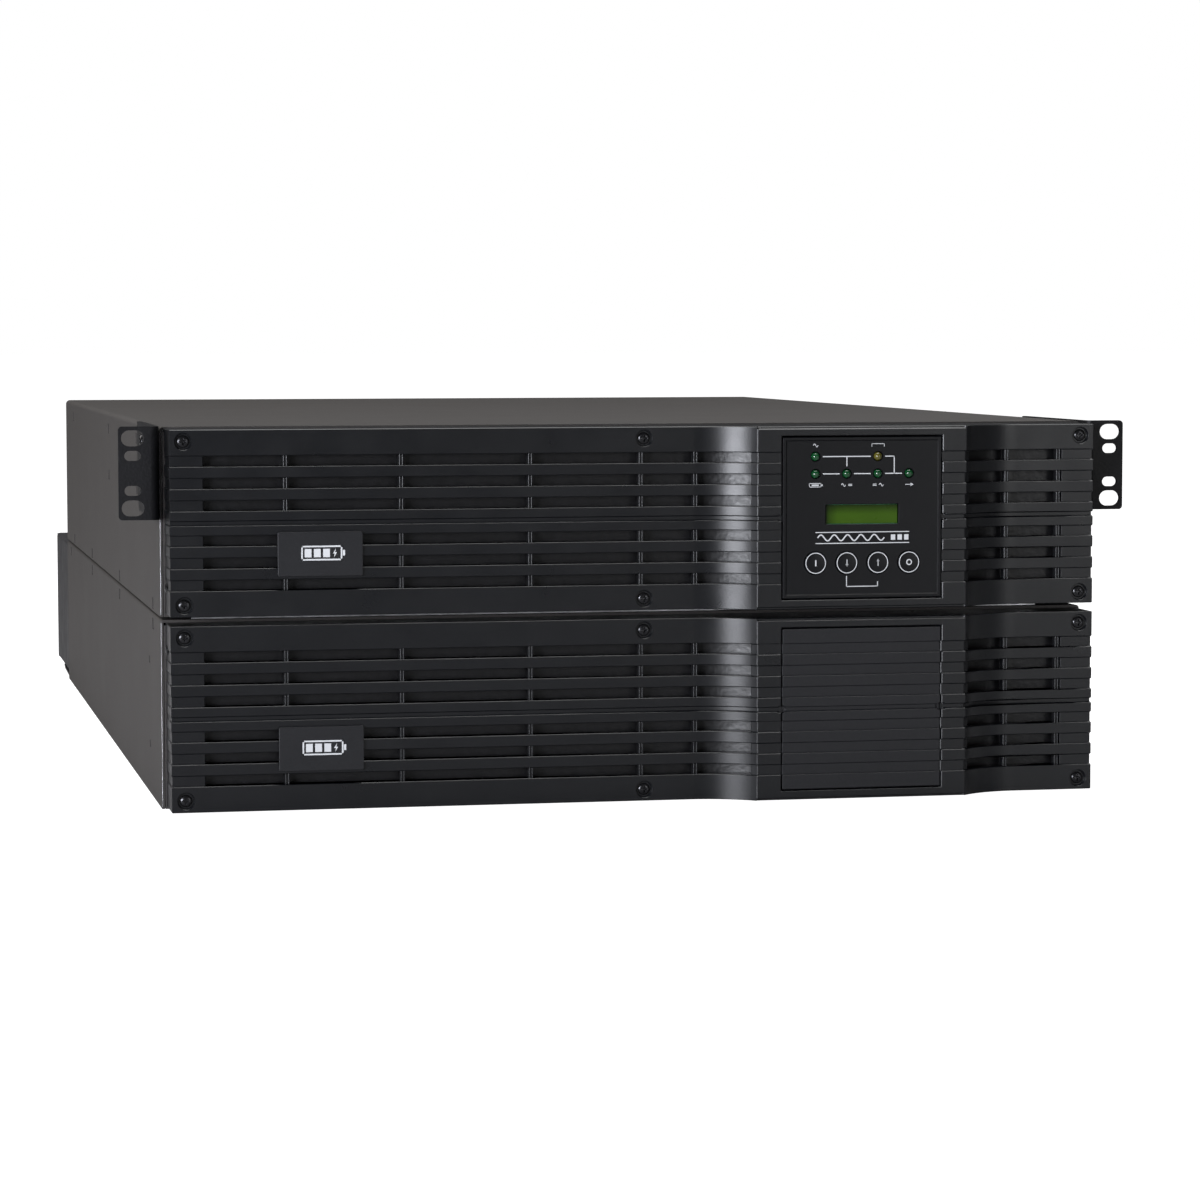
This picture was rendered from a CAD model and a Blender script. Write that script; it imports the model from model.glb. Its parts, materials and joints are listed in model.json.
"""Looks for the rack-mount UPS: detailed shells, fittings, printing and procedural materials.

Metres, +Z up, front towards -Y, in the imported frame's own coordinates. Depths into a bezel are
measured from its front surface; FRONT is the chassis front plane.
"""

import json
from math import acos, asin, copysign, cos, pi, radians, sin, tau

import bmesh
import bpy
from mathutils import Matrix, Vector


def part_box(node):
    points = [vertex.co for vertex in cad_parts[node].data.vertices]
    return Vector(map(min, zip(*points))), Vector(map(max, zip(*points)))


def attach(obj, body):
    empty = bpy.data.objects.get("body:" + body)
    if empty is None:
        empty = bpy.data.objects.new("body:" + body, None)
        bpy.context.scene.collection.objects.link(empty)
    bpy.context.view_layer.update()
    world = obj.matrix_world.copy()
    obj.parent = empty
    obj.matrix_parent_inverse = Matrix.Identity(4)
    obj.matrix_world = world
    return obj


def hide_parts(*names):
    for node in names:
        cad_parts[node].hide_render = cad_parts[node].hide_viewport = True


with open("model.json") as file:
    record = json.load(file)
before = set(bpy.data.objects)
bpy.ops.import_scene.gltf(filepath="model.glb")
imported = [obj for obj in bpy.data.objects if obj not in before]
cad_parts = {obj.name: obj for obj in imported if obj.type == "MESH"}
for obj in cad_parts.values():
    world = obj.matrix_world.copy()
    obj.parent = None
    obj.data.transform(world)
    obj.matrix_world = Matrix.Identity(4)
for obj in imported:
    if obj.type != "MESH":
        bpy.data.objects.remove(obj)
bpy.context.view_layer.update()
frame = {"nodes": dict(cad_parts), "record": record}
NODES = frame["nodes"]

# -------- Dimensions

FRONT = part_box("power_base_pan")[0].y
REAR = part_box("power_base_pan")[1].y
BOX_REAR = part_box("rear_box_panel")[1].y
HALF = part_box("power_top_cover")[1].x  # half of the chassis width
SHEET = 0.0012
GAP = 0.0003
FOLD = {"battery": 0.0014, "power": 0.0025}

BEZEL_LOW, BEZEL_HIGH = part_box("power_bezel")
BEZEL_HALF = BEZEL_HIGH.x
BEZEL_HEIGHT = BEZEL_HIGH.z - BEZEL_LOW.z
CENTRE_FRONT = BEZEL_LOW.y
CENTRE_PROUD = 0.012
FLAT_FRONT = CENTRE_FRONT + CENTRE_PROUD
COVE_RADIUS = 0.04
COVE_STEPS = 20
PANEL_LOW, PANEL_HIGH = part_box("control_panel_housing")
PANEL_X = (PANEL_LOW.x + PANEL_HIGH.x) / 2
CENTRE_HALF = 0.0502
SHELL = 0.0055                  # depth of the bars between the slot windows
WALL = 0.003
FULL = 1.0                      # stands for the bezel's open back, at the chassis
SIDE_STEP = 0.0003              # how far the recessed rows also step in at the bezel's ends
ROW_RECESS = 0.001
ROW_HEIGHT = 0.0049
ROW_PITCH = 0.01005
FIRST_ROW = 0.0118
GROOVE_DEPTH = 0.0015
GROOVE_HEIGHT = 0.0021
NOTCH = 0.0015                  # finger notches beside the square panels, at mid-height
WINDOW_END = 0.2025
WINDOW_INSET = 0.0025
RIBS = (-0.1653, -0.1123, -0.0526, -0.0007, 0.0251, 0.1755, 0.2009)
RIB_HALF = 0.001
RIB_DEPTH = 0.0016
BEAD_RADIUS = 0.0004            # the ribs' rounded edges
BEAD_OFF = 0.00065
BEAD_DEPTH = 0.0014
LEDGE = 0.0011                  # the centre section stops this far short of the bezel's edges
FILTER_DEPTH = 0.008
FILTER_THICKNESS = 0.0015
FILTER_HALF = 0.033
FILTER_START = 0.05  # from the centre section's middle to the filters' inner ends
FILTER_OVER = 0.004  # how far they reach past the outermost slots
COUNTERBORE = 0.0038
SCREW_HOLE = 0.0018

PANEL_HALF_X = (PANEL_HIGH.x - PANEL_LOW.x) / 2
PANEL_HALF_Z = (PANEL_HIGH.z - PANEL_LOW.z) / 2
PANEL_GAP = 0.0007
PANEL_WALL = 0.002
LIP = 0.00028                   # facets along the edges of the moulded fronts

MODULES = ("battery", "power")
SIDES = (("left", -1), ("right", 1))

# -------- Materials


def set_inputs(tree, node, inputs):
    """Gives a node's inputs their values, or links them where a socket is given."""
    for key, value in inputs.items():
        if isinstance(value, bpy.types.NodeSocket):
            tree.links.new(value, node.inputs[key])
        else:
            node.inputs[key].default_value = value


def add_node(tree, kind, inputs):
    made = tree.nodes.new("ShaderNode" + kind)
    set_inputs(tree, made, inputs)
    return made


def noise(tree, scale, detail=3.0, stretch=None):
    """A noise texture in object coordinates, stretched if asked."""
    source = add_node(tree, "TexCoord", {}).outputs["Object"]
    if stretch:
        source = add_node(tree, "Mapping", {"Vector": source, "Scale": stretch}).outputs["Vector"]
    return add_node(tree, "TexNoise", {"Vector": source, "Scale": scale, "Detail": detail}).outputs["Fac"]


def spread(tree, source, low, high, start=0.3, end=0.7):
    """Maps a noise's middle range to low ... high."""
    ends = {"From Min": start, "From Max": end, "To Min": low, "To Max": high}
    return add_node(tree, "MapRange", {"Value": source, **ends}).outputs["Result"]


def multiplied(tree, colour, factor):
    mix = tree.nodes.new("ShaderNodeMix")
    mix.data_type = "RGBA"
    mix.blend_type = "MULTIPLY"
    set_inputs(tree, mix, {"Factor": 1.0, "A": colour, "B": factor})
    return mix.outputs["Result"]


def surface(name, colour, roughness, metallic=0.0, specular=0.5, mottle=(0.1, 30.0), speckle=None,
            grain=(0.15, 1500.0), coat=0.0, rough_spread=0.05, stretch=None):
    """A Principled material that varies as a real finish does.

    mottle, speckle and grain are each an amount and a noise scale.
    """
    made = bpy.data.materials.new(name)
    made.use_nodes = True
    tree = made.node_tree
    ramp = add_node(tree, "ValToRGB", {"Fac": noise(tree, mottle[1], 4.0, stretch)})
    for stop, place, change in zip(ramp.color_ramp.elements, (0.3, 0.7), (-mottle[0], mottle[0])):
        stop.position = place
        stop.color = (*[c * (1 + change) for c in colour], 1.0)
    shown = ramp.outputs["Color"]
    if speckle:
        dots = spread(tree, noise(tree, speckle[1], 2.0), 1 - speckle[0], 1 + speckle[0])
        shown = multiplied(tree, shown, dots)
    gloss = noise(tree, mottle[1] * 2.3)
    inputs = {
        "Base Color": shown,
        "Metallic": metallic,
        "Specular IOR Level": specular,
        "Coat Weight": coat,
        "Roughness": spread(tree, gloss, roughness - rough_spread, roughness + rough_spread),
    }
    if grain[0]:
        relief = {"Strength": grain[0], "Distance": 0.0002, "Height": noise(tree, grain[1], 2.0, stretch)}
        inputs["Normal"] = add_node(tree, "Bump", relief).outputs["Normal"]
    set_inputs(tree, tree.nodes["Principled BSDF"], inputs)
    return made


FINISHES = {
    "coat_grey": surface("powder_coat_grey", (0.036, 0.033, 0.031), 0.6, specular=0.35,
            mottle=(0.015, 9.0), speckle=(0.1, 700.0), grain=(0.35, 900.0), rough_spread=0.012),
    "coat_black": surface("powder_coat_black", (0.015, 0.015, 0.017), 0.55, specular=0.4,
            mottle=(0.1, 30.0), speckle=(0.35, 800.0), grain=(0.6, 800.0)),
    "bezel_plastic": surface("bezel_plastic", (0.0036, 0.004, 0.005), 0.31, specular=0.38,
            mottle=(0.08, 22.0), speckle=(0.08, 1200.0), grain=(0.1, 1400.0), rough_spread=0.04),
    "panel_plastic": surface("panel_overlay", (0.0034, 0.0036, 0.0044), 0.36, specular=0.22,
            mottle=(0.05, 30.0), grain=(0.04, 2200.0), rough_spread=0.03),
    "filter_foam": surface("filter_sheet", (0.004, 0.004, 0.0045), 0.33, specular=0.32,
            mottle=(0.3, 260.0), grain=(0.55, 420.0)),
    "zinc_steel": surface("zinc_steel", (0.55, 0.56, 0.57), 0.34, metallic=1.0, mottle=(0.12, 60.0),
            grain=(0.12, 1500.0), stretch=(1.0, 0.08, 1.0)),
    "screw_steel": surface("black_oxide", (0.03, 0.03, 0.032), 0.24, metallic=0.85,
            mottle=(0.25, 500.0), grain=(0.1, 1500.0)),
    "aluminium": surface("extruded_aluminium", (0.75, 0.76, 0.77), 0.36, metallic=1.0,
            mottle=(0.1, 80.0), stretch=(1.0, 0.05, 1.0)),
    "circuit_board": surface("solder_resist", (0.02, 0.12, 0.05), 0.35, mottle=(0.3, 220.0)),
    "choke_winding": surface("enamelled_copper", (0.45, 0.2, 0.08), 0.35, mottle=(0.2, 300.0),
            grain=(0.5, 500.0)),
    "battery_case": surface("battery_case", (0.06, 0.062, 0.066), 0.5, grain=(0.3, 1500.0)),
    "lamp_green": surface("lamp_green", (0.003, 0.048, 0.013), 0.16, specular=0.45, mottle=(0.25, 400.0),
            grain=(0.0, 1500.0), coat=0.5),
    "lamp_yellow": surface("lamp_yellow", (0.08, 0.07, 0.01), 0.16, specular=0.45,
            mottle=(0.25, 400.0), grain=(0.0, 1500.0), coat=0.5),
    "display_green": surface("display_green", (0.034, 0.078, 0.004), 0.3, specular=0.12,
            mottle=(0.1, 60.0), grain=(0.0, 1500.0)),
}
INK = surface("screen_print", (0.56, 0.57, 0.58), 0.6, specular=0.3, mottle=(0.05, 30.0),
        grain=(0.1, 1500.0))
EAR_COAT = surface("ear_coat", (0.0032, 0.0032, 0.004), 0.5, specular=0.22, mottle=(0.1, 30.0),
        speckle=(0.35, 800.0), grain=(0.6, 800.0))
MATTE = surface("matte_plastic", (0.0105, 0.0107, 0.0122), 0.42, specular=0.3, mottle=(0.05, 22.0),
        speckle=(0.1, 1200.0), grain=(0.12, 1400.0), rough_spread=0.03)
BARE = surface("cut_steel", (0.6, 0.6, 0.62), 0.38, metallic=1.0, mottle=(0.35, 90.0),
        grain=(0.3, 500.0))


def shade_display_edges(tree):
    """Darkens the display towards its top and left, where its frame overhangs it."""
    colour = tree.nodes["Principled BSDF"].inputs["Base Color"]
    place = add_node(tree, "TexCoord", {}).outputs["Generated"]
    split = add_node(tree, "SeparateXYZ", {"Vector": place}).outputs
    across = spread(tree, split["X"], 0.35, 1.0, 0.0, 0.16)
    upright = spread(tree, split["Z"], 1.0, 0.22, 0.5, 1.0)
    both = add_node(tree, "Math", {0: across, 1: upright})
    both.operation = "MULTIPLY"
    shaded = multiplied(tree, colour.links[0].from_socket, both.outputs["Value"])
    tree.links.new(shaded, colour)


shade_display_edges(FINISHES["display_green"].node_tree)

# -------- Shape helpers

TURNS = {                       # turns that take +Z to each direction
    "X": Matrix(((0, 0, 1), (0, 1, 0), (-1, 0, 0))),
    "-X": Matrix(((0, 0, -1), (0, 1, 0), (1, 0, 0))),
    "Y": Matrix(((1, 0, 0), (0, 0, 1), (0, -1, 0))),
    "-Y": Matrix(((1, 0, 0), (0, 0, -1), (0, 1, 0))),
    "Z": Matrix.Identity(3),
}
PLANES = {                      # places outlines drawn in X-Y square to each axis
    "X": Matrix(((0, 0, 1), (1, 0, 0), (0, 1, 0))),
    "Y": Matrix(((1, 0, 0), (0, 0, 1), (0, 1, 0))),
    "Z": Matrix.Identity(3),
}


def middle_of(node):
    low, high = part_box(node)
    return (low + high) / 2


def link(name, data):
    obj = bpy.data.objects.new(name, data)
    bpy.context.scene.collection.objects.link(obj)
    return obj


def add_piece(name, mesh, slot, body="chassis", replaces=(), finish=None):
    """An object that rides on a body, finished from one of the record's material slots."""
    obj = link(name, mesh)
    if not mesh.materials:
        mesh.materials.append(finish or FINISHES[slot])
    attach(obj, body)
    if replaces:
        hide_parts(*replaces)
    return obj


def placed(centre, axis):
    return Matrix.Translation(centre) @ TURNS[axis].to_4x4()


def to_mesh(name, bm, place=None):
    if place:
        bmesh.ops.transform(bm, matrix=place, verts=bm.verts)
    mesh = bpy.data.meshes.new(name)
    bmesh.ops.recalc_face_normals(bm, faces=bm.faces)
    bm.to_mesh(mesh)
    bm.free()
    return mesh


def joined(name, meshes):
    bm = bmesh.new()
    for mesh in meshes:
        bm.from_mesh(mesh)
        bpy.data.meshes.remove(mesh)
    return to_mesh(name, bm)


def smooth(mesh):
    for face in mesh.polygons:
        face.use_smooth = True


def add_bevel(obj, width, segments, angle):
    bevel = obj.modifiers.new("edges", "BEVEL")
    bevel.width = width
    bevel.segments = segments
    bevel.limit_method = "ANGLE"
    bevel.angle_limit = radians(angle)
    return bevel


def soften(obj, width=0.0003, segments=2, angle=35.0):
    """Rounds the edges and smooths the shading between faces that are nearly in line."""
    smooth(obj.data)
    add_bevel(obj, width, segments, angle).miter_outer = "MITER_ARC"
    obj.modifiers.new("shading", "WEIGHTED_NORMAL").keep_sharp = True


def evaluated(obj):
    graph = bpy.context.evaluated_depsgraph_get()
    return bpy.data.meshes.new_from_object(obj.evaluated_get(graph))


def crisp(obj, width, angle=30.0):
    """One flat facet along every edge, as moulded lips show, on faces freed of their grid lines."""
    bm = bmesh.new()
    bm.from_mesh(obj.data)
    bmesh.ops.dissolve_limit(bm, angle_limit=radians(0.4), verts=bm.verts, edges=bm.edges)
    bm.to_mesh(obj.data)
    bm.free()
    add_bevel(obj, width, 1, angle).use_clamp_overlap = False
    made = evaluated(obj)
    obj.modifiers.clear()
    smooth(made)
    made.set_sharp_from_angle(angle=radians(12.0))
    obj.data = made


def carved(name, mesh, tools, operation="DIFFERENCE"):
    """The mesh after Booleans with the tool meshes."""
    body = link(name + "_blank", mesh)
    cutters = [link(tool.name, tool) for tool in tools]
    for cutter in cutters:
        modifier = body.modifiers.new("cut", "BOOLEAN")
        modifier.operation = operation
        modifier.solver = "EXACT"
        modifier.object = cutter
    made = evaluated(body)
    made.name = name
    for obj in [body, *cutters]:
        bpy.data.objects.remove(obj, do_unlink=True)
    return made


def box_mesh(name, spans):
    """Boxes, each from its low corner to its high corner."""
    bm = bmesh.new()
    for low, high in spans:
        low, high = Vector(low), Vector(high)
        made = bmesh.ops.create_cube(bm, size=1.0)
        bmesh.ops.scale(bm, vec=high - low, verts=made["verts"])
        bmesh.ops.translate(bm, vec=(low + high) / 2, verts=made["verts"])
    return to_mesh(name, bm)


def rods(name, centres, radius, depth, axis="-Y", segments=32):
    """Equal cylinders along an axis."""
    bm = bmesh.new()
    for centre in centres:
        bmesh.ops.create_cone(bm, cap_ends=True, segments=segments, radius1=radius, radius2=radius,
                              depth=depth, matrix=placed(centre, axis))
    return to_mesh(name, bm)


def prism(name, outline, axis, low, high):
    """A closed outline, in the axis's other two directions, extruded from low to high."""
    bm = bmesh.new()
    base = bm.faces.new([bm.verts.new((u, v, low)) for u, v in outline])
    lifted = bmesh.ops.extrude_face_region(bm, geom=[base])["geom"]
    raised = [item for item in lifted if isinstance(item, bmesh.types.BMVert)]
    bmesh.ops.translate(bm, vec=(0, 0, high - low), verts=raised)
    return to_mesh(name, bm, PLANES[axis].to_4x4())


def slab(name, near, far, place):
    """The closed solid between two grids of points of the same size."""
    bm = bmesh.new()
    near, far = [[[bm.verts.new(point) for point in line] for line in grid] for grid in (near, far)]
    rows, across = len(near), len(near[0])
    for grid in (near, far):
        for a in range(rows - 1):
            for b in range(across - 1):
                bm.faces.new((grid[a][b], grid[a + 1][b], grid[a + 1][b + 1], grid[a][b + 1]))
    rim = [(a, 0) for a in range(rows)] + [(rows - 1, b) for b in range(1, across)]
    rim += [(a, across - 1) for a in range(rows - 2, -1, -1)] + [(0, b) for b in range(across - 2, 0, -1)]
    for (a, b), (c, d) in zip(rim, rim[1:] + rim[:1]):
        bm.faces.new((near[a][b], near[c][d], far[c][d], far[a][b]))
    return to_mesh(name, bm, place)


def ribbon(name, outer, inner, axis, low, high):
    """Bent sheet: the solid between two lines of equal length, extruded from low to high."""
    grids = [[[(u, v, w) for u, v in line] for w in (low, high)] for line in (outer, inner)]
    return slab(name, *grids, PLANES[axis].to_4x4())


def lathe(name, profile, centre, steps=32, axis="Y", closed=False):
    """A solid of revolution from (radius, distance along the axis); a closed profile makes a ring."""
    bm = bmesh.new()
    rings = []
    for radius, along in profile:
        angles = [tau * i / steps for i in range(steps)] if radius else [0.0]
        rings.append([bm.verts.new((radius * cos(t), radius * sin(t), along)) for t in angles])
    for near, far in zip(rings, rings[1:] + (rings[:1] if closed else [])):
        for i in range(steps):
            j = (i + 1) % steps
            corners = [near[i % len(near)], near[j % len(near)], far[j % len(far)], far[i % len(far)]]
            bm.faces.new(list(dict.fromkeys(corners)))
    return to_mesh(name, bm, placed(centre, axis))


def arc(centre, radius, start, end, steps):
    """Points on an arc, angles in degrees."""
    angles = [radians(start + (end - start) * i / steps) for i in range(steps + 1)]
    return [(centre[0] + radius * cos(a), centre[1] + radius * sin(a)) for a in angles]


def rounded(low, high, radius, steps=5):
    """A rectangle with round corners."""
    x0, x1 = low[0] + radius, high[0] - radius
    y0, y1 = low[1] + radius, high[1] - radius
    points = []
    for quarter, centre in enumerate(((x1, y1), (x0, y1), (x0, y0), (x1, y0))):
        points += arc(centre, radius, 90 * quarter, 90 * quarter + 90, steps)
    return points


def slot_outline(x, z, length, height, steps=10):
    """A slot with round ends, lying along the first direction."""
    r = height / 2
    reach = length / 2 - r
    return arc((x + reach, z), r, -90, 90, steps) + arc((x - reach, z), r, 90, 270, steps)


def shell(name, xs, zs, column, point):
    """A closed solid made of columns on a grid, walled wherever neighbours differ.

    column(x, z) gives the depths of a column's front and back, or None for a hole; point(x, depth)
    gives where that depth lies in plan.
    """
    xs, zs = sorted(set(xs)), sorted(set(zs))
    spans = {}
    for i in range(len(xs) - 1):
        for j in range(len(zs) - 1):
            found = column((xs[i] + xs[i + 1]) / 2, (zs[j] + zs[j + 1]) / 2)
            if found:
                spans[i, j] = found
    depths = {}
    for (i, j), ends in spans.items():
        for corner in ((i, j), (i + 1, j), (i + 1, j + 1), (i, j + 1)):
            depths.setdefault(corner, set()).update(ends)
    bm = bmesh.new()
    verts = {}

    def vert(corner, depth):
        key = (*corner, depth)
        if key not in verts:
            x, y = point(xs[corner[0]], depth)
            verts[key] = bm.verts.new((x, y, zs[corner[1]]))
        return verts[key]

    def wall(a, b, start, end):
        line_a = [vert(a, d) for d in sorted(depths[a]) if start <= d <= end]
        line_b = [vert(b, d) for d in sorted(depths[b], reverse=True) if start <= d <= end]
        bm.faces.new(line_a + line_b)

    for (i, j), (front, back) in spans.items():
        ring = [(i, j), (i + 1, j), (i + 1, j + 1), (i, j + 1)]
        bm.faces.new([vert(corner, front) for corner in ring])
        bm.faces.new([vert(corner, back) for corner in reversed(ring)])
        for k, (di, dj) in enumerate(((0, -1), (1, 0), (0, 1), (-1, 0))):
            a, b = ring[k], ring[(k + 1) % 4]
            other = spans.get((i + di, j + dj))
            if other is None:
                wall(a, b, front, back)
                continue
            if other[0] > front:
                wall(a, b, front, min(other[0], back))
            if other[1] < back:
                wall(a, b, max(other[1], front), back)
    return to_mesh(name, bm)


# -------- Bezels


def cove_sweep(depth):
    """The angle through which a cove turns, at a depth behind its surface."""
    return acos((COVE_RADIUS - CENTRE_PROUD + depth) / (COVE_RADIUS + depth))


TANGENT = CENTRE_HALF + COVE_RADIUS * sin(cove_sweep(0.0))


def bezel_point(x, depth):
    """Where a depth behind the bezel's front lies in plan: flat, cove and centre section."""
    if depth == FULL:
        return x, FRONT - GAP
    off = abs(x - PANEL_X)
    side = copysign(1.0, x - PANEL_X)
    if off >= TANGENT - 1e-9:
        return x, FLAT_FRONT + depth
    radius = COVE_RADIUS + depth
    corner = TANGENT - radius * sin(cove_sweep(depth))
    if off <= CENTRE_HALF + 1e-9:
        return PANEL_X + side * off * corner / CENTRE_HALF, CENTRE_FRONT + depth
    share = asin((TANGENT - off) / COVE_RADIUS) / cove_sweep(0.0)
    angle = share * cove_sweep(depth)
    centre = FLAT_FRONT - COVE_RADIUS
    return PANEL_X + side * (TANGENT - radius * sin(angle)), centre + radius * cos(angle)


def row_spans():
    """Low and high edges of the recessed rows above the bezel's bottom edge."""
    below = [FIRST_ROW + ROW_PITCH * i for i in range(3)]
    above = [BEZEL_HEIGHT - low - ROW_HEIGHT for low in reversed(below)]
    return [(low, low + ROW_HEIGHT) for low in below + above]


def cove_stations():
    """Places across the bezel where the coves' columns begin and end."""
    sweep = cove_sweep(0.0)
    offs = [TANGENT - COVE_RADIUS * sin(sweep * i / COVE_STEPS) for i in range(COVE_STEPS + 1)]
    return [PANEL_X + side * off for side in (-1, 1) for off in offs]


def make_ribs(module):
    """Round beads down both edges of every rib, behind the bars."""
    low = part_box(module + "_bezel")[0].z
    meshes = []
    for a, b in row_spans():
        places = []
        for rib in RIBS:
            for side in (-1, 1):
                x, y = bezel_point(rib + side * BEAD_OFF, BEAD_DEPTH)
                places.append((x, y, low + (a + b) / 2))
        meshes.append(rods("beads", places, BEAD_RADIUS, b - a + 0.0008, "Z", 12))
    name = module + "_bezel_ribs"
    soften(add_piece(name, joined(name, meshes), "bezel_plastic"), 0.00005, 1, 60)


def make_bezel(module):
    """A moulded front with its rows, ribbed slots, coves and square opening, and its two filters."""
    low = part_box(module + "_bezel")[0].z
    middle = low + BEZEL_HEIGHT / 2
    rows = [(low + a, low + b) for a, b in row_spans()]
    window_ends = [PANEL_X - CENTRE_HALF - WINDOW_INSET, PANEL_X + CENTRE_HALF + WINDOW_INSET]
    half_w, half_h = PANEL_HALF_X + PANEL_GAP, PANEL_HALF_Z + PANEL_GAP
    xs = [BEZEL_HALF, BEZEL_HALF - SIDE_STEP, BEZEL_HALF - WALL, WINDOW_END]
    xs += [-x for x in xs] + [PANEL_X - half_w, PANEL_X + half_w] + window_ends + cove_stations()
    xs += [x + side * RIB_HALF for x in RIBS for side in (-1, 1)]
    xs += [PANEL_X + side * (half_w + NOTCH) for side in (-1, 1)]
    zs = [low, low + LEDGE, low + WALL, middle - half_h, middle + half_h]
    zs += [middle - GROOVE_HEIGHT / 2, middle + GROOVE_HEIGHT / 2, middle - NOTCH, middle + NOTCH]
    zs += [2 * middle - z for z in zs[:3]] + [z for row in rows for z in row]

    def column(x, z):
        off = abs(x - PANEL_X)
        if off < half_w and abs(z - middle) < half_h:
            return None
        in_row = any(a < z < b for a, b in rows)
        in_groove = abs(z - middle) < GROOVE_HEIGHT / 2
        if abs(x) > BEZEL_HALF - SIDE_STEP and (in_row or in_groove):
            return None
        rim = abs(x) > BEZEL_HALF - WALL or abs(z - middle) > BEZEL_HEIGHT / 2 - WALL
        back = FULL if rim else SHELL
        if in_row and abs(x) < WINDOW_END and not window_ends[0] < x < window_ends[1]:
            if any(abs(x - rib) < RIB_HALF for rib in RIBS):
                return RIB_DEPTH, back
            return None
        if in_row:
            return ROW_RECESS, back
        if in_groove or (off < half_w + NOTCH and abs(z - middle) < NOTCH):
            return GROOVE_DEPTH, back
        if off < CENTRE_HALF and abs(z - middle) > BEZEL_HEIGHT / 2 - LEDGE:
            return LEDGE, back
        return 0.0, back

    name = module + "_bezel_shell"
    mesh = shell(name, xs, zs, column, bezel_point)
    screws = [middle_of(f"{module}_bezel_screw_{number}") for number in range(1, 7)]
    places = [(screw.x, FLAT_FRONT, screw.z) for screw in screws]
    tools = [
        rods("counterbores", places, COUNTERBORE, 0.0036, segments=40),
        rods("screw_holes", places, SCREW_HOLE, 0.03, segments=16),
    ]
    obj = add_piece(name, carved(name, mesh, tools), "bezel_plastic", replaces=[module + "_bezel"])
    crisp(obj, LIP)

    sheet_xs = [x for x in xs if abs(x) <= WINDOW_END]
    sheet_xs += [side * (WINDOW_END + FILTER_OVER) for side in (-1, 1)]
    sheet_zs = [middle - FILTER_HALF, middle, middle + FILTER_HALF]
    depths = (FILTER_DEPTH, FILTER_DEPTH + FILTER_THICKNESS)
    for side, way in SIDES:
        name = f"{module}_filter_{side}"
        side_xs = [x for x in sheet_xs if way * (x - PANEL_X) > FILTER_START]
        sheet = shell(name, side_xs, sheet_zs, lambda x, z: depths, bezel_point)
        node = f"{module}_intake_filter_{side}"
        soften(add_piece(name, sheet, "filter_foam", replaces=[node]), 0.0002, 1)


SCREWS = {                      # head radius, rise of the head, length
    "bezel": (0.0029, 0.0017, 0.006),
    "side": (0.0024, 0.0008, 0.003),
    "ear": (0.0034, 0.0013, 0.002),
    "box": (0.0029, 0.001, 0.0015),
    "fan": (0.0031, 0.0012, 0.002),
    "plate": (0.003, 0.0012, 0.0018),
}


def add_screw(name, kind, centre, axis="Y", replaces=()):
    """A pan-head screw with a cross recess; its head faces back along the axis."""
    r, rise, length = SCREWS[kind]
    profile = [(0.0, 0.0), (r * 0.45, 0.00002), (r * 0.72, 0.00018), (r * 0.92, 0.00055), (r, rise * 0.75),
               (r, rise), (r * 0.52, rise), (r * 0.52, length), (0.0, length)]
    head = lathe(name, profile, (0, 0, 0), 32, "Z")
    long, thin, deep = r * 0.55, r * 0.12, r * 0.4
    tools = [box_mesh("cross", [((-u, -v, -0.001), (u, v, deep))]) for u, v in ((long, thin), (thin, long))]
    tools.append(lathe("cone", [(0.0, -0.0005), (r * 0.36, -0.0005), (0.0, deep * 1.3)], (0, 0, 0), 16, "Z"))
    mesh = carved(name, head, tools)
    mesh.transform(placed(centre, axis))
    soften(add_piece(name, mesh, "screw_steel", replaces=replaces), 0.0001, 2)


def make_bezel_screws():
    """The screws through each bezel's front, and one in each of its two end walls."""
    for module in MODULES:
        for number in range(1, 7):
            node = f"{module}_bezel_screw_{number}"
            middle = middle_of(node)
            centre = (middle.x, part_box(node)[0].y + 0.0005, middle.z)
            add_screw(node + "_head", "bezel", centre, replaces=[node])
    for module, z in (("power", 0.102), ("battery", 0.074)):
        for side, way in SIDES:
            centre = (way * (BEZEL_HALF + 0.0008), FRONT - 0.0085, z)
            add_screw(f"{module}_side_screw_{side}", "side", centre, "X" if way < 0 else "-X")


# -------- Square panels


def straight(front, back_full):
    """Plan places for shell() on a flat front."""
    def point(x, depth):
        return x, back_full if depth == FULL else front + depth

    return point


def make_blank_panel():
    low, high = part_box("blank_panel")
    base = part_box("battery_bezel")[0].z
    middle = (low.z + high.z) / 2
    rows = [(base + a, base + b) for a, b in row_spans()]
    xs = [low.x, low.x + PANEL_WALL, high.x - PANEL_WALL, high.x]
    zs = [low.z, low.z + PANEL_WALL, high.z - PANEL_WALL, high.z]
    zs += [middle - GROOVE_HEIGHT / 2, middle + GROOVE_HEIGHT / 2]
    zs += [z for row in rows for z in row]

    def column(x, z):
        rim = min(x - low.x, high.x - x, z - low.z, high.z - z) < PANEL_WALL
        back = FULL if rim else 0.003
        if any(a < z < b for a, b in rows):
            return ROW_RECESS, back
        if abs(z - middle) < GROOVE_HEIGHT / 2:
            return GROOVE_DEPTH, back
        return 0.0, back

    name = "blank_panel_shell"
    mesh = shell(name, xs, zs, column, straight(low.y, high.y))
    notches = rods("notches", [(x, low.y, middle) for x in (low.x, high.x)], 0.0017, 0.0036, segments=20)
    mesh = carved(name, mesh, [notches])
    crisp(add_piece(name, mesh, "bezel_plastic", "blank_panel", ["blank_panel"], MATTE), LIP)


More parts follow.
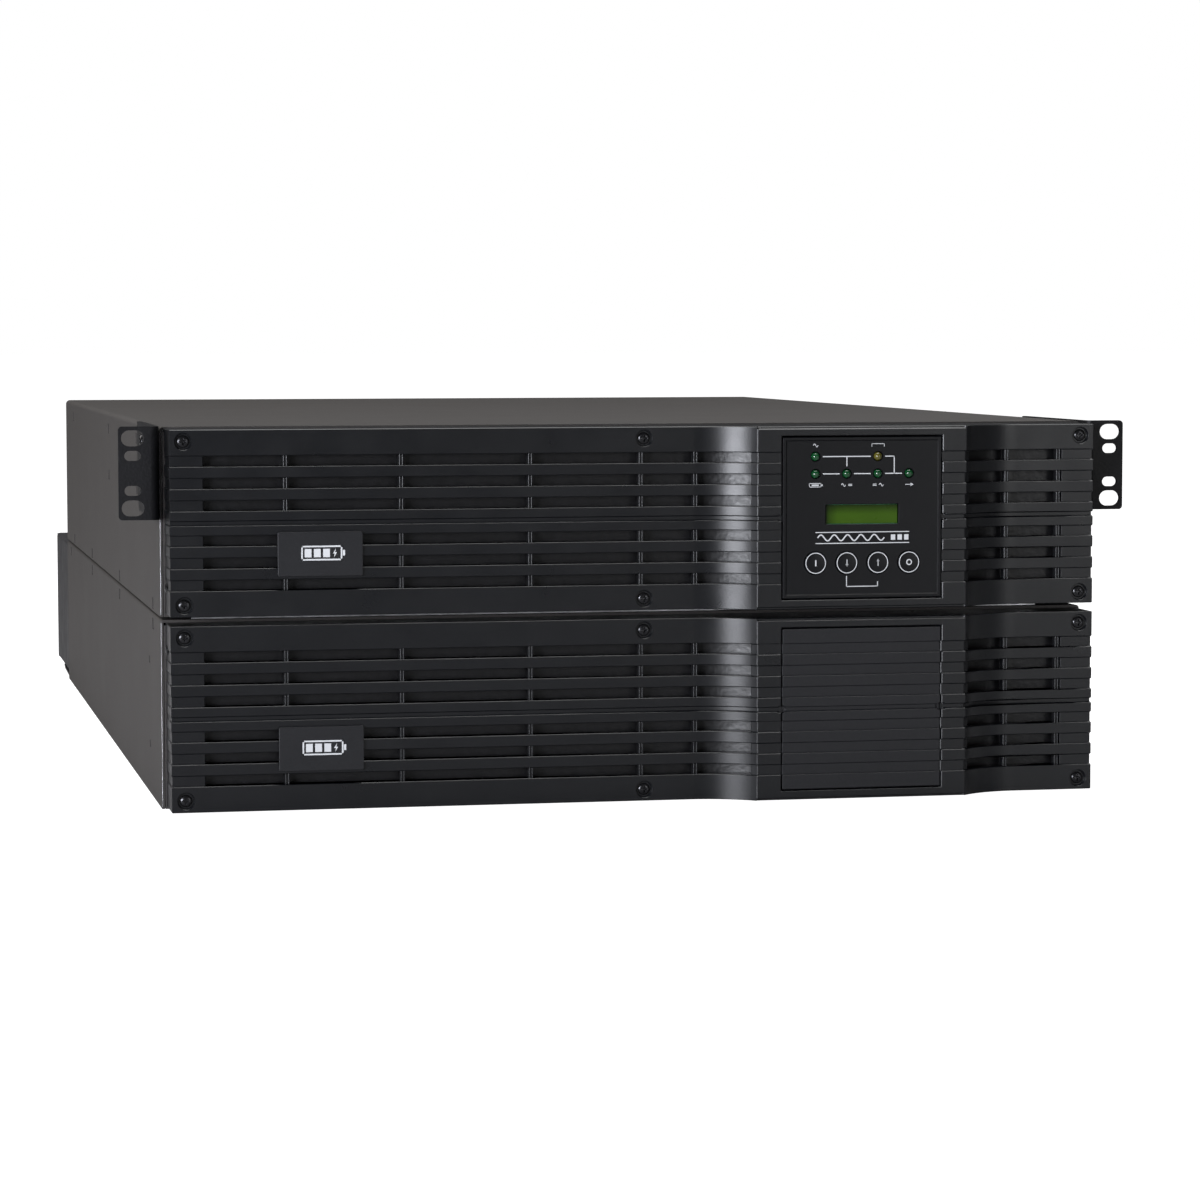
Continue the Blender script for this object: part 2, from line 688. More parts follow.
PANEL_RIM = 0.0016
LABEL_DEPTH = 0.0004
FACE_BACK = 0.0022
LABEL_Y = PANEL_LOW.y + LABEL_DEPTH
LAMPS = ("led_input", "led_bypass", "led_battery", "led_ac_dc", "led_dc_ac", "led_output")
BUTTONS = ("button_on", "button_down", "button_up", "button_off")


def make_panel_housing():
    low, high = PANEL_LOW, PANEL_HIGH
    steps = (0.0, PANEL_RIM, PANEL_WALL)
    xs = [low.x + step for step in steps] + [high.x - step for step in steps]
    zs = [low.z + step for step in steps] + [high.z - step for step in steps]

    def column(x, z):
        edge = min(x - low.x, high.x - x, z - low.z, high.z - z)
        return (0.0 if edge < PANEL_RIM else LABEL_DEPTH), (FULL if edge < PANEL_WALL else FACE_BACK)

    name = "control_panel_face"
    mesh = shell(name, xs, zs, column, straight(low.y, high.y))
    start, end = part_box("display_window")
    opening = rounded((start.x - GAP, start.z - GAP), (end.x + GAP, end.z + GAP), 0.0004, 3)
    tools = [prism("display_opening", opening, "Y", LABEL_Y - 0.005, LABEL_Y + 0.006)]
    for nodes, radius, segments in ((LAMPS, 0.0022, 32), (BUTTONS, 0.0053, 48)):
        places = [(middle_of(node).x, LABEL_Y, middle_of(node).z) for node in nodes]
        tools.append(rods("holes", places, radius, 0.01, segments=segments))
    mesh = carved(name, mesh, tools)
    crisp(add_piece(name, mesh, "panel_plastic", "control_panel", ["control_panel_housing"]), 0.00025)


def make_lamps():
    r = 0.002
    for node in LAMPS:
        low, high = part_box(node)
        middle = (low + high) / 2
        turns = [pi / 2 * i / 8 for i in range(9)]
        back = high.y - low.y
        profile = [(r * sin(t), r * (1 - cos(t))) for t in turns]
        profile += [(r, back - 0.0015), (r + 0.0004, back - 0.0015), (r + 0.0004, back), (0.0, back)]
        mesh = lathe(node + "_lens", profile, (middle.x, low.y, middle.z))
        slot = "lamp_yellow" if node == "led_bypass" else "lamp_green"
        soften(add_piece(node + "_lens", mesh, slot, "control_panel", [node]), 0.00005, 1, 50)


def make_display():
    """The display's window, sunk behind the label."""
    low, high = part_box("display_window")
    outline = rounded((low.x, low.z), (high.x, high.z), 0.0003, 3)
    mesh = prism("display_lens", outline, "Y", LABEL_Y + 0.0012, high.y)
    obj = add_piece("display_lens", mesh, "display_green", "control_panel", ["display_window"])
    soften(obj, 0.0001, 2)


def make_buttons():
    """Domed caps on flanges that keep them in the panel."""
    r = 0.005
    for node in BUTTONS:
        low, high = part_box(node)
        middle = (low + high) / 2
        back = high.y - low.y
        flange = PANEL_LOW.y + FACE_BACK + GAP - low.y
        profile = [(0.0, 0.0), (r * 0.5, 0.00003), (r * 0.8, 0.0001), (r * 0.93, 0.00025),
                   (r * 0.985, 0.0005), (r, 0.0009), (r, flange), (r + 0.001, flange),
                   (r + 0.001, flange + 0.001), (0.0015, flange + 0.001), (0.0015, back), (0.0, back)]
        mesh = lathe(node + "_cap", profile, (middle.x, low.y, middle.z), 64)
        soften(add_piece(node + "_cap", mesh, "panel_plastic", node, [node]), 0.00008, 2, 50)


# -------- Printing
# Ink is drawn in the X-Z plane from y = -PRINT to 0, and printed() moves it to its surface.

PRINT = 0.00004                 # thickness of the printing
CAP_SKIN = 0.00003              # signs on the caps lie this far behind the caps' fronts
RING_SUNK = 0.00019             # and the rings this far behind the signs
SIGN_OFF = 0.0052               # from a lamp's middle to its sign's


def filled(x0, z0, x1, z1):
    return box_mesh("filled", [((x0, -PRINT, z0), (x1, 0.0, z1))])


def shape(outline):
    return prism("shape", outline, "Y", -PRINT, 0.0)


def stroke(points, width):
    """Boxes along a broken line of upright and level runs, meeting square."""
    h = width / 2
    spans = []
    for (x0, z0), (x1, z1) in zip(points, points[1:]):
        low = (min(x0, x1) - h, -PRINT, min(z0, z1) - h)
        spans.append((low, (max(x0, x1) + h, 0.0, max(z0, z1) + h)))
    return box_mesh("stroke", spans)


def outlined(x0, z0, x1, z1, width):
    return stroke([(x0, z0), (x1, z0), (x1, z1), (x0, z1), (x0, z0)], width)


def polyline(points, width):
    """A mitred line through any points, as one outline."""
    left, right = [], []
    for k, (x, z) in enumerate(points):
        before = points[max(k - 1, 0)]
        after = points[min(k + 1, len(points) - 1)]
        along = Vector((after[0] - before[0], after[1] - before[1])).normalized()
        across = Vector((-along.y, along.x)) * width / 2
        left.append((x + across.x, z + across.y))
        right.append((x - across.x, z - across.y))
    return shape(left + right[::-1])


def wave(x, z, width, height, line, turns=1, steps=12):
    """A sine about (x, z), the sign for alternating current."""
    shares = [i / steps for i in range(steps + 1)]
    points = [(x + width * (s - 0.5), z + height / 2 * sin(tau * turns * s)) for s in shares]
    return polyline(points, line)


def dash(x, z, width, line):
    return filled(x - width / 2, z - line / 2, x + width / 2, z + line / 2)


def ring(x, z, inner, outer, sunk=0.0, steps=64):
    profile = [(inner, 0.0), (outer, 0.0), (outer, PRINT), (inner, PRINT)]
    return lathe("ring", profile, (x, sunk - PRINT, z), steps, closed=True)


def printed(name, meshes, y, body="control_panel"):
    """Ink that rides with the surface it is printed on."""
    mesh = joined(name, meshes)
    mesh.transform(Matrix.Translation((0.0, y, 0.0)))
    add_piece(name, mesh, "panel_plastic", body, finish=INK)


def make_flow_print():
    """Lines between the lamps that show the power's way through the unit."""
    source, bypass, battery = [middle_of("led_" + name) for name in ("input", "bypass", "battery")]
    line, clear = 0.00046, 0.0037
    top, low = source.z, battery.z
    mid_x = (source.x + bypass.x) / 2
    bend_x = bypass.x + 0.0078
    meshes = [
        stroke([(source.x + clear, top), (bypass.x - clear, top)], line),
        stroke([(mid_x, top - line), (mid_x, low + clear)], line),
        stroke([(bypass.x + clear, top), (bend_x, top), (bend_x, low)], line),
    ]
    row = [middle_of(node).x for node in LAMPS[2:]]
    for a, b in zip(row, row[1:]):
        meshes.append(stroke([(a + clear, low), (b - clear, low)], line))
    down, up = middle_of("button_down"), middle_of("button_up")
    foot = down.z - 0.011
    bracket = [(down.x, down.z - 0.0063), (down.x, foot), (up.x, foot), (up.x, up.z - 0.009)]
    meshes.append(stroke(bracket, 0.0004))
    printed("panel_flow_lines", meshes, LABEL_Y)


def make_label_signs():
    """Small plain signs beside the lamps, in place of words."""
    line = 0.0003
    meshes = []
    for node in LAMPS:
        lamp = middle_of(node)
        x, z = lamp.x, lamp.z + (SIGN_OFF if node in LAMPS[:2] else -SIGN_OFF)
        if node == "led_input":
            meshes.append(wave(x, z, 0.0022, 0.0014, line))
        elif node == "led_bypass":
            left, right, foot, top = x - 0.003, x + 0.003, z - 0.0006, z + 0.0006
            meshes.append(stroke([(left, foot), (left, top), (right, top), (right, foot)], line))
        elif node == "led_battery":
            meshes.append(outlined(x - 0.003, z - 0.0008, x + 0.0026, z + 0.0008, line))
            meshes.append(filled(x + 0.0029, z - 0.0004, x + 0.0034, z + 0.0004))
            meshes.append(dash(x - 0.0002, z, 0.0034, 0.0007))
        elif node == "led_output":
            meshes.append(polyline([(x - 0.0018, z), (x + 0.0012, z)], line))
            meshes.append(shape([(x + 0.0008, z + 0.0008), (x + 0.0008, z - 0.0008), (x + 0.0022, z)]))
        else:
            off = 0.0016 if node == "led_ac_dc" else -0.0016
            meshes.append(wave(x - off, z, 0.002, 0.0013, line))
            meshes += [dash(x + off, z + rise, 0.0018, line) for rise in (0.0003, -0.0003)]
    printed("panel_lamp_signs", meshes, LABEL_Y)


def make_name_band():
    """Two fine lines with a plain wave and three bars between them, where the maker prints a name."""
    left, right = PANEL_X - 0.0224, PANEL_X + 0.0226
    low, high = 0.1202, 0.1253
    half = 0.0004 / 2
    meshes = [filled(left, z - half, right, z + half) for z in (low, high)]
    start, end = left + 0.001, right - 0.012
    meshes.append(wave((start + end) / 2, (low + high) / 2, end - start, 0.0028, 0.0006, 5, 60))
    for i in range(3):
        x = right - 0.0088 + 0.0032 * i
        meshes.append(filled(x, low + 0.0013, x + 0.0021, high - 0.0013))
    printed("panel_wave_band", meshes, LABEL_Y)


def make_button_print():
    """A ring on each cap, and its sign: line for on, circle for off, arrows for down and up."""
    for node in BUTTONS:
        middle = middle_of(node)
        x, z = middle.x, middle.z
        meshes = [ring(x, z, 0.0045, 0.00487, RING_SUNK)]
        if node == "button_on":
            meshes.append(filled(x - 0.0003, z - 0.0014, x + 0.0003, z + 0.0014))
        elif node == "button_off":
            meshes.append(ring(x, z, 0.0009, 0.0014, steps=32))
        else:
            way = -1 if node == "button_down" else 1
            tip = z + way * 0.0017
            base = tip - way * 0.0011
            meshes.append(filled(x - 0.0002, z - 0.0016, x + 0.0002, z + 0.0016))
            meshes.append(shape([(x, tip), (x - 0.0007, base), (x + 0.0007, base)]))
        printed(node + "_print", meshes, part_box(node)[0].y + CAP_SKIN, node)


BOLT = ((0.25, 1.0), (-0.55, -0.15), (-0.05, -0.15), (-0.25, -1.0), (0.55, 0.15), (0.05, 0.15))


def make_badges():
    """A plain plate with a battery sign: its case, three bars and a bolt."""
    wide, tall = 0.009, 0.003
    for module in MODULES:
        node = module + "_badge"
        low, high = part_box(node)
        plate = prism(node + "_plate", rounded((low.x, low.z), (high.x, high.z), 0.0009), "Y", low.y, high.y)
        soften(add_piece(node + "_plate", plate, "bezel_plastic", replaces=[node], finish=MATTE), 0.0003, 3)
        x, z = (low.x + high.x) / 2 + 0.0006, (low.z + high.z) / 2 + 0.0004
        meshes = [
            outlined(x - wide, z - tall, x + wide, z + tall, 0.0007),
            filled(x + wide + 0.0006, z - 0.0013, x + wide + 0.0016, z + 0.0013),
            shape([(x + wide - 0.003 + u * 0.0017, z + v * 0.002) for u, v in BOLT]),
        ]
        for i in range(3):
            left = x - wide + 0.0012 + 0.0042 * i
            meshes.append(filled(left, z - tall + 0.0011, left + 0.0031, z + tall - 0.0011))
        printed(node + "_sign", meshes, low.y, "chassis")


# -------- Chassis


SIDE_SLOTS = {                  # distance behind the front, and low and high edges above the cover's foot
    "battery": [(y, 0.0795, 0.085) for y in (0.04, 0.24, 0.44, 0.625)]
    + [(0.06, low, low + 0.0035) for low in (0.022, 0.062)],
    "power": [(y, 0.0008, 0.0063) for y in (0.04, 0.24, 0.44, 0.59)]
    + [(y, 0.0755, 0.0808) for y in (0.125, 0.306, 0.59)]
    + [(y, 0.051, 0.056) for y in (0.125, 0.306)],
}
SLOT_HALF = 0.0033


def cover_profile(low, high, inset, bend):
    """Left foot, over the folded top, to the right foot."""
    half, top, fold = HALF - inset, high - inset, bend - inset
    line = [(-half, low)]
    line += arc((-half + fold, top - fold), fold, 180, 90, 8)
    line += arc((half - fold, top - fold), fold, 90, 0, 8)
    return line + [(half, low)]


def make_covers():
    reach = HALF + 0.001
    for module in MODULES:
        node = module + "_top_cover"
        low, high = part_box(node)
        outer = cover_profile(low.z, high.z, 0.0, FOLD[module])
        inner = cover_profile(low.z, high.z, SHEET, FOLD[module])
        mesh = ribbon(node + "_sheet", outer, inner, "Y", low.y, high.y)
        cuts = []
        for y, a, b in SIDE_SLOTS[module]:
            middle = FRONT + y
            cuts.append(((-reach, middle - SLOT_HALF, low.z + a), (reach, middle + SLOT_HALF, low.z + b)))
        mesh = carved(node + "_sheet", mesh, [box_mesh("slots", cuts)])
        soften(add_piece(node + "_sheet", mesh, "coat_grey", replaces=[node]), 0.00018, 2)


def make_side_tabs():
    """Dark tabs of the base pans that hook into the covers' slots."""
    spans = []
    for module in MODULES:
        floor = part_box(module + "_top_cover")[0].z
        for y, a, b in SIDE_SLOTS[module]:
            for side in (-1, 1):
                ends = sorted((side * (HALF - SHEET), side * (HALF - 0.0004)))
                low = (ends[0], FRONT + y - SLOT_HALF + GAP, floor + a + GAP)
                high = (ends[1], FRONT + y + SLOT_HALF - GAP, floor + b - GAP)
                spans.append((low, high))
    mesh = box_mesh("side_tabs", spans)
    soften(add_piece("side_tabs", mesh, "filter_foam"), 0.0001, 2)


def make_worn_edges():
    """Bare metal: the covers' front corner edges, and the lip of the upper base over the seam."""
    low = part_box("power_base_pan")[0].z
    spans = [((-0.206, FRONT - 0.0004, low - 0.0011), (0.198, FRONT - 0.00002, low - 0.0003))]
    for module in MODULES:
        bottom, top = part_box(module + "_top_cover")
        for side in (-1, 1):
            ends = sorted((side * (HALF - 0.0003), side * (HALF - 0.0001)))
            start = (ends[0], FRONT - 0.0002, bottom.z + 0.001)
            spans.append((start, (ends[1], FRONT + 0.0001, top.z - FOLD[module])))
    mesh = box_mesh("worn_edges", spans)
    soften(add_piece("worn_edges", mesh, "zinc_steel", finish=BARE), 0.0001, 2)


EAR_SHEET = 0.0022
EAR_BEND = 0.0042               # outer radius where the plate turns into the leg
EAR_CORNER = 0.0018
EAR_CLIP = 0.008                # the leg's lower rear corner is cut off at 45 degrees
HOLE_X = 0.23255
RACK_HOLE = 0.04445 * 5 / 14
EAR_SCREWS = ((0.022, 0.0125), (0.022, -0.0125), (0.062, 0.0125), (0.062, -0.0125))


def make_ears():
    """Bent ear plates, each with two rack slots and a smaller slot inside each of them."""
    near, sheet, bend = HALF + GAP, EAR_SHEET, EAR_BEND
    for side, sign in SIDES:
        node = "rack_ear_" + side
        low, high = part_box(node)
        tip = max(abs(low.x), abs(high.x))
        front, back = low.y, high.y
        middle = (low.z + high.z) / 2

        def punch(outline):
            flipped = [(sign * x, z) for x, z in outline]
            return prism("punch", flipped, "Y", front - 0.001, front + sheet + 0.001)

        centre = (near + bend, front + bend)
        outer = [(near, back), *arc(centre, bend, 180, 270, 8), (tip, front)]
        inner = [(near + sheet, back), *arc(centre, bend - sheet, 180, 270, 8), (tip, front + sheet)]
        flip = [[(sign * x, y) for x, y in line] for line in (outer, inner)]
        mesh = ribbon(node + "_bracket", *flip, "Z", low.z, high.z)
        tools = []
        for step in (-RACK_HOLE, RACK_HOLE):
            tools.append(punch(slot_outline(HOLE_X, middle + step, 0.0103, 0.0073)))
            tools.append(punch(slot_outline(HOLE_X, middle + step / 2, 0.0075, 0.0046)))
        for up, z in ((1, high.z), (-1, low.z)):
            x, foot = tip - EAR_CORNER, z - up * EAR_CORNER
            curve = arc((x, foot), EAR_CORNER, 0, 90 * up, 6)
            over = z + up * 0.001
            tools.append(punch([(tip + 0.001, foot), *curve, (x, over), (tip + 0.001, over)]))
        start, under = back - EAR_CLIP, low.z - 0.001
        clip = [(back + 0.001, under), (back + 0.001, low.z + EAR_CLIP), (back, low.z + EAR_CLIP),
                (start, low.z), (start, under)]
        ends = sorted((sign * (near - 0.001), sign * (near + sheet + 0.001)))
        tools.append(prism("clip", clip, "X", *ends))
        mesh = carved(node + "_bracket", mesh, tools)
        obj = add_piece(node + "_bracket", mesh, "coat_black", replaces=[node], finish=EAR_COAT)
        soften(obj, 0.0002, 2)
        for number, (y, rise) in enumerate(EAR_SCREWS, start=1):
            place = (sign * (near + sheet + 0.0013), FRONT + y, middle + rise)
            add_screw(f"{node}_screw_{number}", "ear", place, "X" if sign < 0 else "-X")


# -------- Rear

FAN_WIRE = 0.0008
FAN_REACH = 0.0505              # from the fan's middle to the ends of its guard's arms
GUARD_RINGS = (0.01, 0.017, 0.024, 0.031, 0.038)


def rounded_edges(node, width, segments=2, angle=35.0):
    """Welds a carried-over solid's split corners and rounds its edges."""
    obj = NODES[node]
    weld = obj.modifiers.new("weld", "WELD")
    weld.merge_threshold = 0.00002
    soften(obj, width, segments, angle)


def add_rear_screws(name, kind, places, y):
    """Screws whose heads face the rear, numbered from 1."""
    for number, (x, z) in enumerate(places, start=1):
        add_screw(f"{name}_{number}", kind, (x, y, z), "-Y")


def make_rear_box():
    low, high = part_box("rear_box_housing")
    name, inset = "rear_box_shell", 0.008
    outer = rounded((low.x, low.z), (high.x, high.z), 0.0022, 6)
    inner = rounded((low.x + SHEET, low.z + SHEET), (high.x - SHEET, high.z - SHEET), 0.0012, 6)
    mesh = prism(name, outer, "Y", low.y, high.y)
    mesh = carved(name, mesh, [prism("rear_box_hollow", inner, "Y", low.y + SHEET, high.y + 0.001)])
    soften(add_piece(name, mesh, "coat_black", replaces=["rear_box_housing"]), 0.0002, 2, 40)
    xs, zs = (low.x + inset, 0.0, high.x - inset), (low.z + inset, high.z - inset)
    add_rear_screws("rear_box_screw", "box", [(x, z) for x in xs for z in zs], BOX_REAR + 0.001)


def make_rear_shelf():
    """The folded plate under the chassis that carries the rear box."""
    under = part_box("rear_box_housing")[0].z
    half = HALF - 0.0005
    profile = [(REAR - 0.004, 0.0007), (REAR + 0.046, 0.0023), (REAR + 0.055, 0.0043),
               (REAR + 0.055, under - 0.0001), (REAR + 0.045, under - 0.001), (REAR + 0.0003, 0.0023),
               (REAR - 0.004, 0.0012)]
    mesh = prism("rear_shelf", profile, "X", -half, half)
    soften(add_piece("rear_shelf", mesh, "coat_black"), 0.0002, 2)


def wire_ring(centre, radius, steps=48):
    """A wire bent to a circle in the X-Z plane."""
    return lathe("ring", arc((radius, 0.0), FAN_WIRE, 0, 360, 8)[:-1], centre, steps, closed=True)


def make_fan_guard(side):
    """A wire guard outside the rear wall, its arms ending in eyes for four screws."""
    fan = middle_of("fan_frame_" + side)
    middle = Vector((fan.x, REAR + FAN_WIRE, fan.z))
    start, eye = GUARD_RINGS[0], FAN_REACH - 0.001
    turns = [radians(turn) for turn in (45, 135, 225, 315)]
    ways = [Vector((cos(turn), 0.0, sin(turn))) for turn in turns]
    meshes = [wire_ring(middle + Vector((0.0, 2 * FAN_WIRE, 0.0)), radius) for radius in GUARD_RINGS]
    for way in ways:
        arm = rods("arm", [(0, 0, 0)], FAN_WIRE, FAN_REACH - start, "Z", 12)
        lean = way.to_track_quat("Z", "Y").to_matrix().to_4x4()
        arm.transform(Matrix.Translation(middle + way * (FAN_REACH + start) / 2) @ lean)
        meshes += [arm, wire_ring(middle + way * eye, 0.0026, 20)]
    name = "fan_guard_" + side
    mesh = joined(name, meshes)
    smooth(mesh)
    add_piece(name, mesh, "zinc_steel")
    places = [(fan.x + way.x * eye, fan.z + way.z * eye) for way in ways]
    add_rear_screws(name + "_screw", "fan", places, REAR + 2 * FAN_WIRE + 0.0014)


def make_rotor(side):
    """A hub and seven twisted, curved blades."""
    node = "fan_rotor_" + side
    hub, half, tip, blades = 0.016, 0.0095, 0.0365, 7
    profile = [(0.0, -half), (hub - 0.0015, -half), (hub, -half + 0.0015), (hub, half - 0.0015),
               (hub - 0.0015, half), (hub - 0.004, half), (hub - 0.0045, half - 0.0006), (0.0, half - 0.0006)]
    meshes = [lathe("hub", profile, (0, 0, 0), 40)]
    grid = []
    for a in range(9):
        share = a / 8
        radius = hub - 0.001 + (tip - hub + 0.001) * share
        pitch = radians(44 - 20 * share)
        line = []
        for b in range(7):
            chord = (b / 6 - 0.5) * (0.0165 + 0.004 * share)
            bow = 0.0016 * (1 - (2 * b / 6 - 1) ** 2)
            along = chord * sin(pitch) + bow * cos(pitch)
            turn = (chord * cos(pitch) - bow * sin(pitch)) / max(radius, 0.02) + 0.35 * share
            line.append(Vector((radius * cos(turn), along, radius * sin(turn))))
        grid.append(line)
    off = Vector((0.0, 0.0005, 0.0))
    faces = [[[point + shift for point in line] for line in grid] for shift in (-off, off)]
    for i in range(blades):
        meshes.append(slab("blade", *faces, Matrix.Rotation(tau * i / blades, 4, "Y")))
    name = node + "_impeller"
    mesh = joined(name, meshes)
    mesh.transform(Matrix.Translation(middle_of(node)))
    soften(add_piece(name, mesh, "bezel_plastic", node, [node]), 0.0001, 1, 50)


def make_outlets():
    """Round locking outlets: three curved blade slots in a dished face."""
    for side in ("left", "right"):
        node = "outlet_" + side
        name = node + "_face"
        middle, end = middle_of(node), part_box(node)[1].y
        centre = (middle.x, middle.z)
        out = end - BOX_REAR
        profile = [(0.0, out), (0.017, out), (0.018, out - 0.0006), (0.0205, out - 0.0006),
                   (0.0235, out - 0.0012), (0.0245, out - 0.0022), (0.0245, GAP), (0.0215, GAP),
                   (0.0215, -0.026), (0.0, -0.026)]
        mesh = lathe(name, profile, (middle.x, BOX_REAR, middle.z), 64)
        tools = []
        for turn, reach in ((90, 22), (215, 18), (325, 18)):
            outline = arc(centre, 0.0122, turn - reach, turn + reach, 12)
            outline += arc(centre, 0.01, turn + reach, turn - reach, 12)
            tools.append(prism("blade_slot", outline, "Y", BOX_REAR - 0.012, end + 0.001))
        mesh = carved(name, mesh, tools)
        soften(add_piece(name, mesh, "bezel_plastic", replaces=[node]), 0.00015, 2)


def make_bypass_knob():
    """A fluted knob with a raised grip and a pointer line."""
    node, name = "bypass_switch_knob", "bypass_knob"
    low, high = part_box(node)
    x, z = (low.x + high.x) / 2, (low.z + high.z) / 2
    back = low.y - BOX_REAR
    profile = [(0.0, 0.0078), (0.0128, 0.0078), (0.014, 0.0072), (0.016, 0.0055), (0.016, 0.0012),
               (0.015, 0.001), (0.004, 0.001), (0.004, back), (0.0, back)]
    mesh = lathe(name, profile, (x, BOX_REAR, z), 64)
    outline = rounded((x - 0.0036, z - 0.0145), (x + 0.0036, z + 0.0145), 0.0026, 6)
    grip = prism("grip", outline, "Y", BOX_REAR + 0.005, high.y - PRINT)
    mesh = carved(name, mesh, [grip], "UNION")
    flutes = [(across, BOX_REAR + 0.0035, up) for across, up in arc((x, z), 0.0164, 7.5, 352.5, 23)]
    mesh = carved(name, mesh, [rods("flutes", flutes, 0.0009, 0.006, segments=12)])
    soften(add_piece(name, mesh, "bezel_plastic", "bypass_switch", [node]), 0.0003, 2)
    pointer = filled(x - 0.0005, z + 0.004, x + 0.0005, z + 0.0135)
    printed("bypass_knob_pointer", [pointer], high.y, "bypass_switch")


def make_port_block():
    """A nine-pin connector and a small square one in the port opening, on a plate."""
    z = middle_of("fan_frame_left").z
    span = ((0.1085, REAR + 0.0001, z - 0.0095), (0.1465, REAR + 0.0008, z + 0.0095))
    plate = box_mesh("port_plate", [span])
    outline = [(0.1125, z + 0.0045), (0.129, z + 0.0045), (0.1278, z - 0.0045), (0.1137, z - 0.0045)]
    outer = prism("serial", outline, "Y", REAR + 0.0006, REAR + 0.0056)
    outline = [(0.1131, z + 0.0039), (0.1284, z + 0.0039), (0.1273, z - 0.0039), (0.1142, z - 0.0039)]
    serial = carved("serial_port", outer, [prism("serial_hole", outline, "Y", REAR + 0.002, REAR + 0.007)])
    pins = [(0.1152 + 0.0028 * i, REAR + 0.0032, z + 0.0015) for i in range(5)]
    pins += [(0.1166 + 0.0028 * i, REAR + 0.0032, z - 0.0015) for i in range(4)]
    posts = [(x, REAR + 0.0025, z) for x in (0.1105, 0.131)]
    meshes = [plate, serial, rods("pins", pins, 0.0004, 0.003, segments=12)]
    meshes.append(rods("posts", posts, 0.0018, 0.0042, segments=6))
    soften(add_piece("port_block", joined("port_block", meshes), "zinc_steel"), 0.00015, 2)
    outer = rounded((0.1355, z - 0.0038), (0.1435, z + 0.0038), 0.0006)
    inner = rounded((0.1365, z - 0.0028), (0.1425, z + 0.0028), 0.0004)
    square = prism("square_port", outer, "Y", REAR + 0.0004, REAR + 0.003)
    hole = prism("square_hole", inner, "Y", REAR + 0.001, REAR + 0.004)
    soften(add_piece("square_port", carved("square_port", square, [hole]), "bezel_plastic"), 0.00015, 2)


def make_rear():
    make_rear_box()
    make_rear_shelf()
    for side in ("left", "right"):
        make_fan_guard(side)
        make_rotor(side)
    make_outlets()
    make_bypass_knob()
    low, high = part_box("terminal_cover")
    xs, zs = (low.x + 0.007, high.x - 0.007), (low.z + 0.007, high.z - 0.007)
    add_rear_screws("terminal_cover_screw", "plate", [(x, z) for x in xs for z in zs], high.y + 0.0012)
    make_port_block()
    low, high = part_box("accessory_slot_cover")
    places = [(x, (low.z + high.z) / 2) for x in (low.x + 0.004, high.x - 0.004)]
    add_rear_screws("accessory_cover_screw", "plate", places, high.y + 0.0012)


# -------- Studio

WHITE = (1.0, 1.0, 1.0, 1.0)


def show_to_camera(tree, otherwise, seen, output):
    """Gives camera rays one shader, and all other rays another."""
    ray = add_node(tree, "LightPath", {}).outputs["Is Camera Ray"]
    choose = add_node(tree, "MixShader", {"Fac": ray, 1: otherwise, 2: seen})
    tree.links.new(choose.outputs["Shader"], tree.nodes[output].inputs["Surface"])


def make_stage():
    """Pale paper under the object and a pale room, which the camera sees as white."""
    bm = bmesh.new()
    bmesh.ops.create_grid(bm, x_segments=1, y_segments=1, size=30.0)
    floor = link("studio_floor", to_mesh("studio_floor", bm))
    finish = bpy.data.materials.new("studio_paper")
    finish.use_nodes = True
    tree = finish.node_tree
    paper = tree.nodes["Principled BSDF"]
    inputs = {"Base Color": (0.31, 0.31, 0.32, 1.0), "Roughness": 0.9, "Specular IOR Level": 0.1,
              "Emission Color": WHITE, "Emission Strength": 0.05}
    set_inputs(tree, paper, inputs)
    lit = add_node(tree, "Emission", {"Strength": 1.0}).outputs["Emission"]
    both = add_node(tree, "AddShader", {0: paper.outputs["BSDF"], 1: lit})
    show_to_camera(tree, paper.outputs["BSDF"], both.outputs["Shader"], "Material Output")
    floor.data.materials.append(finish)

    world = bpy.data.worlds.new("studio")
    bpy.context.scene.world = world
    world.use_nodes = True
    tree = world.node_tree
    room = tree.nodes["Background"]
    set_inputs(tree, room, {"Color": (0.95, 0.97, 1.0, 1.0), "Strength": 0.06})
    seen = add_node(tree, "Background", {"Color": WHITE, "Strength": 1.0})
    show_to_camera(tree, room.outputs["Background"], seen.outputs["Background"], "World Output")


def area_light(name, place, target, size, watts, colour=(1.0, 1.0, 1.0)):
    data = bpy.data.lights.new(name, "AREA")
    data.shape = "RECTANGLE"
    data.size, data.size_y = size
    data.energy = watts
    data.color = colour
    lamp = link(name, data)
    lamp.location = place
    lamp.rotation_euler = (Vector(target) - Vector(place)).to_track_quat("-Z", "Y").to_euler()


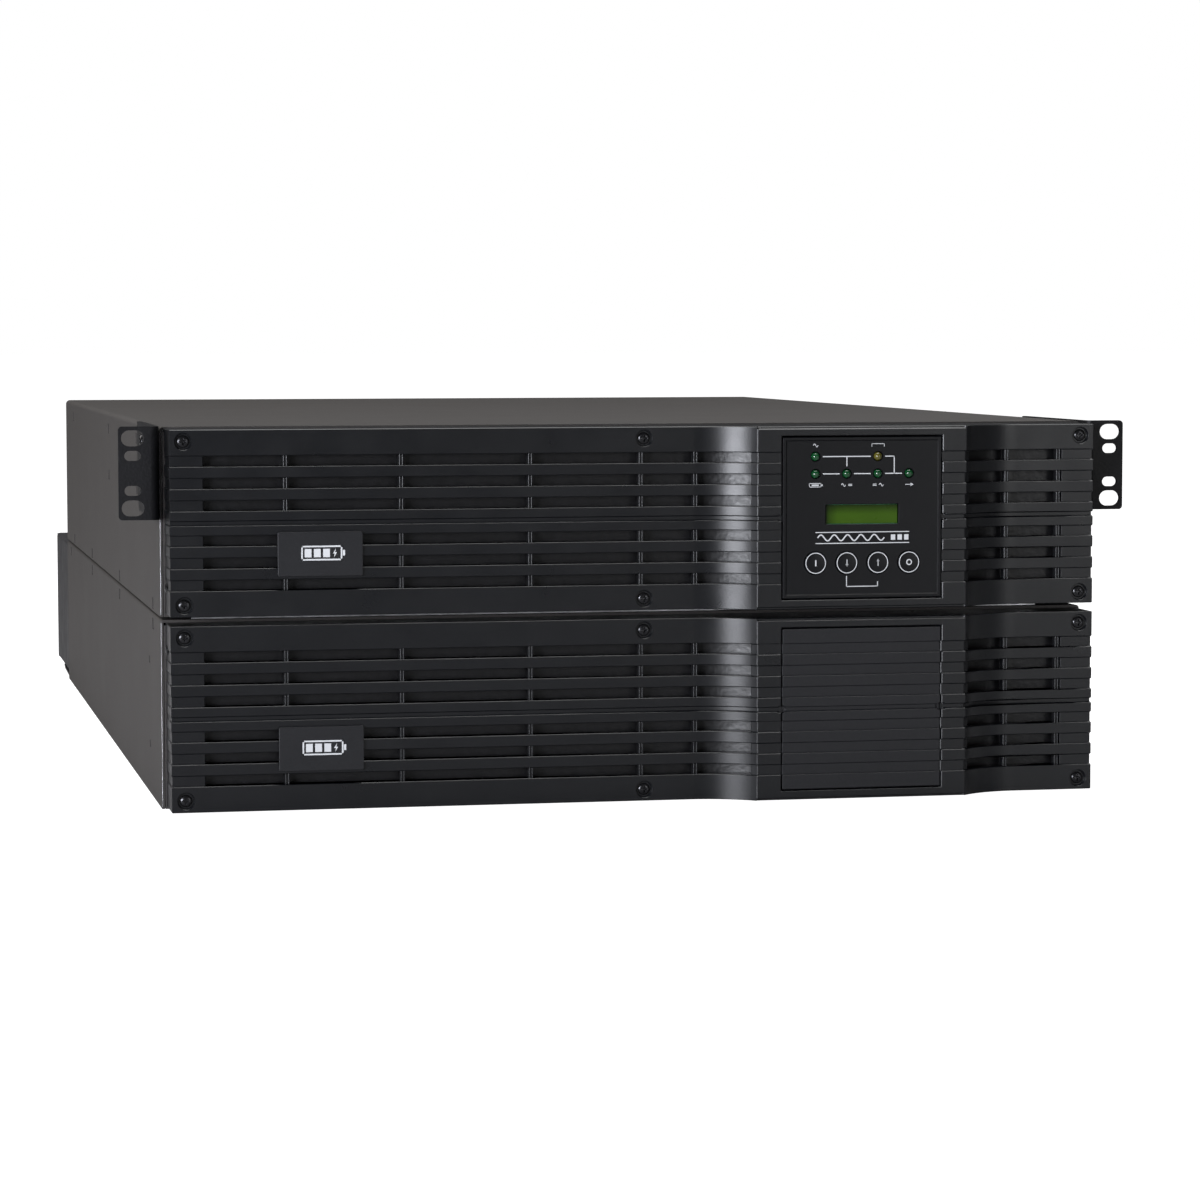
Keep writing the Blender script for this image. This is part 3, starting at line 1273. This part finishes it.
def make_camera():
    data = bpy.data.cameras.new("camera")
    data.lens = 112.314
    data.sensor_width = 36.0
    camera = link("camera", data)
    camera.location = (-0.36988, FRONT - 1.7102, 0.2195)
    camera.rotation_euler = (radians(90.0 - 4.1455), radians(0.063), radians(-11.728))
    bpy.context.scene.camera = camera


# -------- Assembly

CARRIED = {                     # how far the edges of the CAD nodes that stay are rounded
    0.00015: ("power_base_pan", "battery_base_pan"),
    0.0002: ("rear_box_panel", "main_board", "display_board"),
    0.0003: ("accessory_slot_cover", "heatsink"),
    0.0004: ("input_breaker_lever", "fan_frame_left", "fan_frame_right", "battery_tray_left",
             "battery_tray_right"),
    0.0005: ("battery_pack_left", "battery_pack_right"),
    0.0008: ("capacitor_bank",),
    0.0015: ("output_choke",),
}

for part in frame["record"]["subparts"]:
    obj = NODES[part["node"]]
    obj.data.materials.clear()
    obj.data.materials.append(FINISHES[part["material_slot"]])

for module in MODULES:
    make_bezel(module)
    make_ribs(module)
make_bezel_screws()
make_blank_panel()
make_panel_housing()
make_lamps()
make_display()
make_buttons()
make_flow_print()
make_label_signs()
make_name_band()
make_button_print()
make_badges()
make_covers()
make_side_tabs()
make_worn_edges()
make_ears()
make_rear()
rounded_edges("terminal_cover", 0.0006, 3)
for width, nodes in CARRIED.items():
    for node in nodes:
        rounded_edges(node, width)


make_stage()
area_light("key", (-1.59, -2.04, 0.305), (0.05, -0.4, 0.12), (1.1, 0.6), 70.0, (0.91, 0.93, 1.0))
area_light("fill", (1.45, -3.0, 0.42), (0.2, -0.4, 0.1), (1.05, 0.9), 9.5)
area_light("rear", (1.9, 2.2, 1.9), (0.0, 0.4, 0.1), (1.0, 1.0), 7.0)
area_light("top", (0.1, -0.1, 2.2), (0.1, -0.1, 0.1), (2.0, 1.4), 64.0)
area_light("side", (-1.3, 0.55, 0.95), (-0.22, 0.25, 0.12), (0.7, 0.9), 12.0, (1.0, 0.96, 0.92))
make_camera()
bpy.context.scene.view_settings.view_transform = "Standard"
